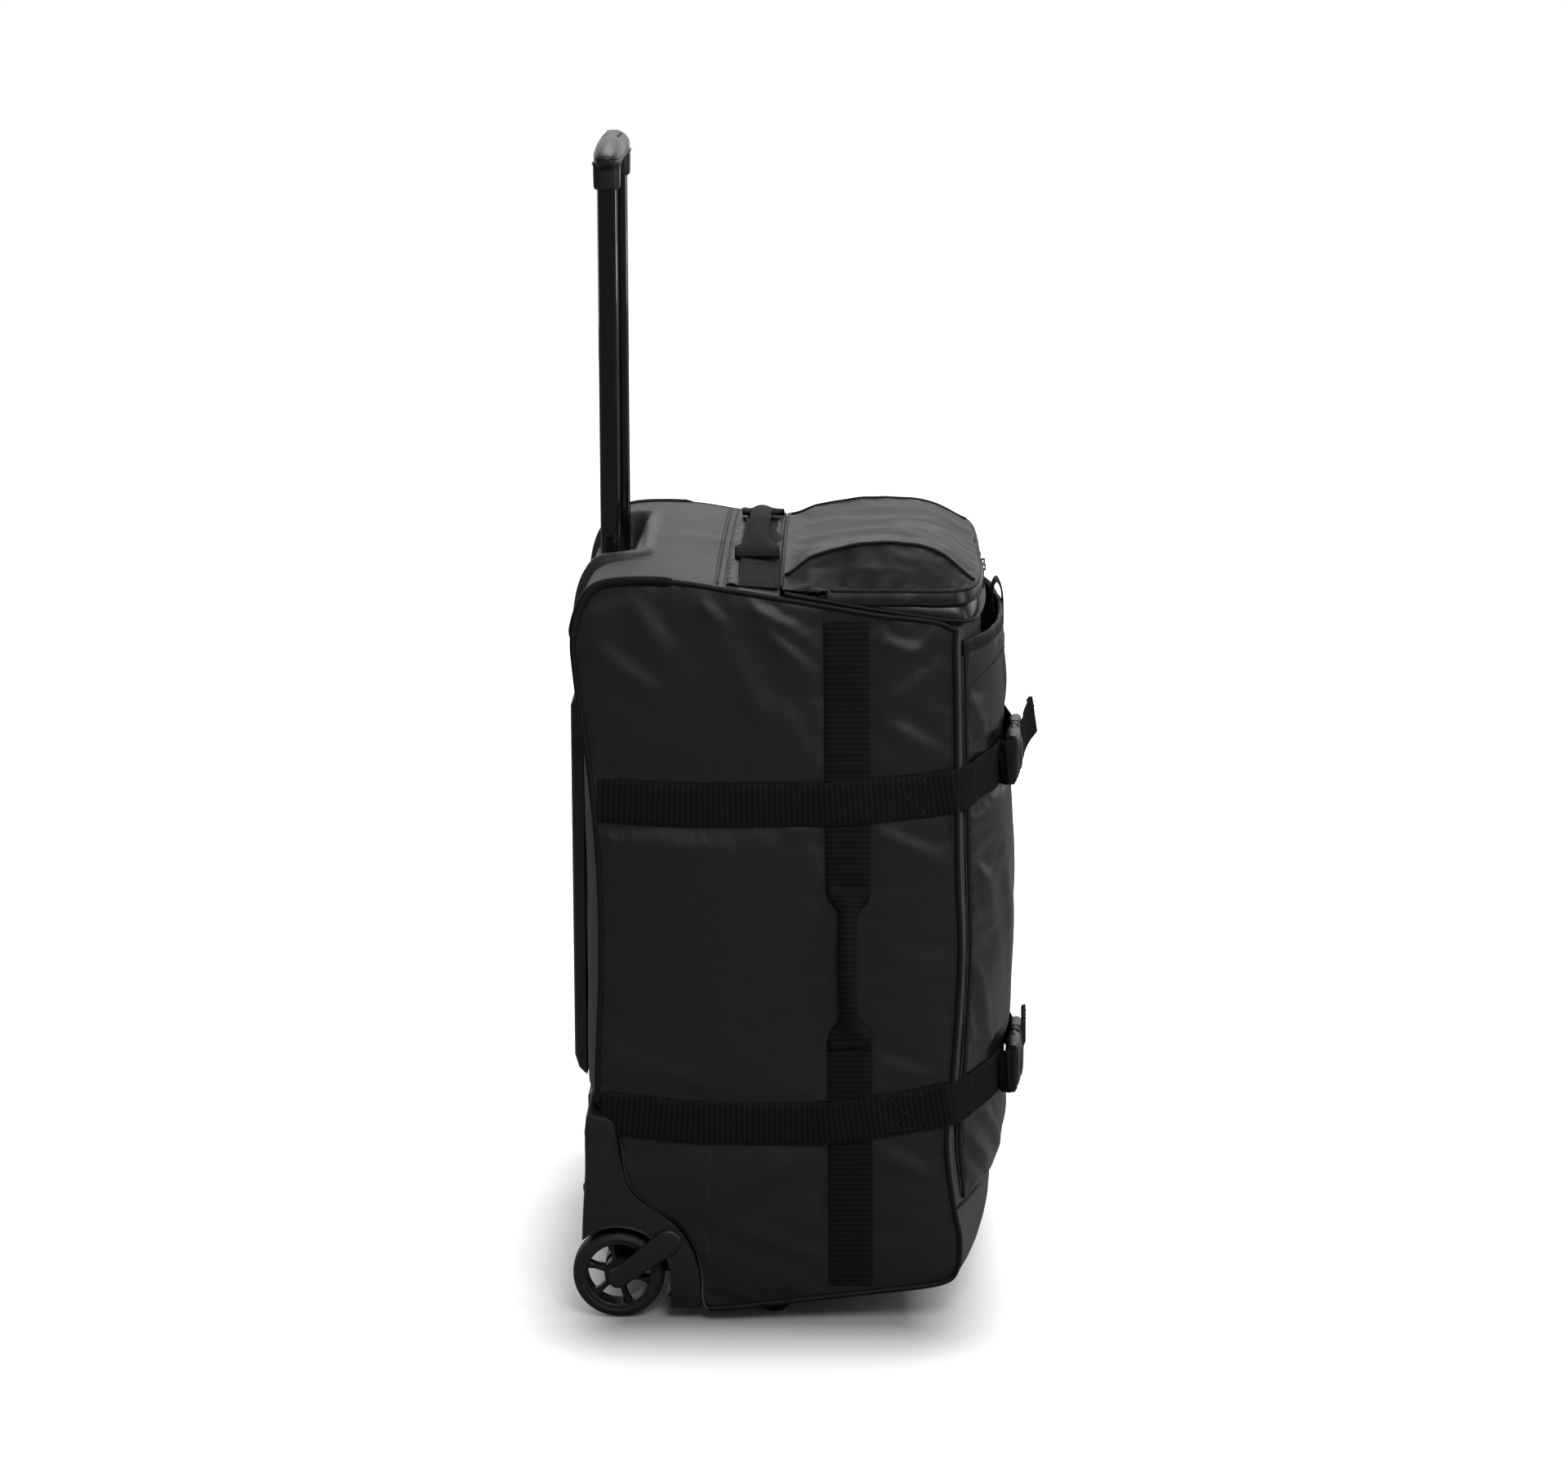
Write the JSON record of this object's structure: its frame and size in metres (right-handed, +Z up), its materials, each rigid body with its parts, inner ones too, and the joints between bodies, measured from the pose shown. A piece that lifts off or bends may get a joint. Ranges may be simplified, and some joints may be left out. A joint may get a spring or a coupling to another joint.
{
  "type": "rolling duffel bag",
  "caption": "Upright soft rolling duffel bag with a telescopic handle, back wheels, domed zip lid, front pocket, compression straps and carrying handles.",
  "frame": {"origin": "on the floor, under the middle of the bag's box", "axes": "+Z up along the trolley, +Y towards the wheels and trolley at the back, the front faces -Y"},
  "size_m": [0.442, 0.394, 1.0128],
  "materials": {
    "coated_fabric": "black tarpaulin-coated fabric, semi-gloss with soft creases",
    "webbing": "matt black ribbed polyester webbing",
    "moulded_plastic": "fine-grained black moulded plastic",
    "anodised_tube": "gloss black anodised tube",
    "steel": "plated steel",
    "tyre_rubber": "matt black polyurethane"
  },
  "bodies": {
    "root": {"axle_arm_left": "moulded_plastic", "axle_arm_right": "moulded_plastic", "axle_left": "steel", "axle_right": "steel", "bag_shell": "coated_fabric", "base_crossbar": "moulded_plastic", "base_tray": "moulded_plastic", "buckle_socket_lower": "moulded_plastic", "buckle_socket_upper": "moulded_plastic", "foot_left": "moulded_plastic", "foot_right": "moulded_plastic", "frame_sheet": "moulded_plastic", "front_pocket": "coated_fabric", "handle_cup": "moulded_plastic", "lower_strap_left": "webbing", "lower_strap_right": "webbing", "outer_tube_left": "anodised_tube", "outer_tube_right": "anodised_tube", "pocket_binding": "webbing", "side_webbing_left": "webbing", "side_webbing_right": "webbing", "skid_rail_left": "moulded_plastic", "skid_rail_right": "moulded_plastic", "top_webbing": "webbing", "tube_bracket": "moulded_plastic", "upper_strap_left": "webbing", "upper_strap_right": "webbing", "wheel_housing_left": "moulded_plastic", "wheel_housing_right": "moulded_plastic", "zip_band": "coated_fabric"},
    "trolley": {"inner_tube_left": "anodised_tube", "inner_tube_right": "anodised_tube", "latch_block_left": "moulded_plastic", "latch_block_right": "moulded_plastic", "grip_upper_shell": "moulded_plastic", "grip_lower_shell": "moulded_plastic", "button_spring": "steel"},
    "button": {"grip_button": "moulded_plastic", "push_rod_left": "steel", "push_rod_right": "steel"},
    "pin_left": {"lock_pin_left": "steel"},
    "pin_right": {"lock_pin_right": "steel"},
    "wheel_left": {"wheel_hub_left": "moulded_plastic", "tyre_left": "tyre_rubber", "wheel_bearing_left": "steel"},
    "wheel_right": {"wheel_hub_right": "moulded_plastic", "tyre_right": "tyre_rubber", "wheel_bearing_right": "steel"},
    "lid": {"lid_panel": "coated_fabric"},
    "slider_left": {"zip_slider_left": "steel"},
    "slider_right": {"zip_slider_right": "steel"},
    "puller_left": {"zip_puller_left": "moulded_plastic"},
    "puller_right": {"zip_puller_right": "moulded_plastic"},
    "clip_upper": {"buckle_clip_upper": "moulded_plastic"},
    "clip_lower": {"buckle_clip_lower": "moulded_plastic"},
    "handle_left": {"side_handle_left": "webbing"},
    "handle_right": {"side_handle_right": "webbing"},
    "handle_top": {"top_handle": "webbing"}
  },
  "joints": [
    {"name": "trolley_slide", "type": "slide", "parent": "root", "child": "trolley", "axis": [0, 0, 1], "range_m": [-0.335, 0]},
    {"name": "button_press", "type": "slide", "parent": "trolley", "child": "button", "axis": [0, 0, 1], "range_m": [-0.0035, 0], "stiffness_N_per_m": 900, "springref_m": 0.003, "deforming": ["button_spring"]},
    {"name": "lock_pin_left_slide", "type": "slide", "parent": "trolley", "child": "pin_left", "axis": [0, 1, 0], "range_m": [0, 0.0026]},
    {"name": "lock_pin_right_slide", "type": "slide", "parent": "trolley", "child": "pin_right", "axis": [0, 1, 0], "range_m": [0, 0.0026]},
    {"name": "wheel_left_spin", "type": "hinge", "parent": "root", "child": "wheel_left", "pos_m": [-0.1715, 0.157, 0.04], "axis": [1, 0, 0], "continuous": true},
    {"name": "wheel_right_spin", "type": "hinge", "parent": "root", "child": "wheel_right", "pos_m": [0.1715, 0.157, 0.04], "axis": [1, 0, 0], "continuous": true},
    {"name": "lid_open", "type": "hinge", "parent": "root", "child": "lid", "pos_m": [0, 0.016, 0.662], "axis": [-1, 0, 0], "range_deg": [0, 90]},
    {"name": "zip_left_slide", "type": "slide", "parent": "root", "child": "slider_left", "axis": [-0.9999, 0.0118, 0], "range_m": [0, 0.085]},
    {"name": "zip_right_slide", "type": "slide", "parent": "root", "child": "slider_right", "axis": [0.9999, 0.0118, 0], "range_m": [0, 0.085]},
    {"name": "puller_left_swing", "type": "hinge", "parent": "slider_left", "child": "puller_left", "pos_m": [-0.013, -0.1576, 0.636], "axis": [-1, 0, 0], "range_deg": [0, 100]},
    {"name": "puller_right_swing", "type": "hinge", "parent": "slider_right", "child": "puller_right", "pos_m": [0.013, -0.1576, 0.636], "axis": [-1, 0, 0], "range_deg": [0, 100]},
    {"name": "buckle_upper_release", "type": "slide", "parent": "root", "child": "clip_upper", "axis": [0.9969, -0.0785, 0], "range_m": [0, 0.03]},
    {"name": "buckle_lower_release", "type": "slide", "parent": "root", "child": "clip_lower", "axis": [0.9969, -0.0785, 0], "range_m": [0, 0.03]},
    {"name": "side_handle_left_lift", "type": "slide", "parent": "root", "child": "handle_left", "axis": [-1, 0, 0], "range_m": [0, 0.015]},
    {"name": "side_handle_right_lift", "type": "slide", "parent": "root", "child": "handle_right", "axis": [1, 0, 0], "range_m": [0, 0.015]},
    {"name": "top_handle_lift", "type": "slide", "parent": "root", "child": "handle_top", "axis": [0, 0, 1], "range_m": [0, 0.015]}
  ],
  "couplings": [
    {"joint": "lock_pin_left_slide", "follows": "button_press", "ratio": -0.71429},
    {"joint": "lock_pin_right_slide", "follows": "button_press", "ratio": -0.71429}
  ]
}
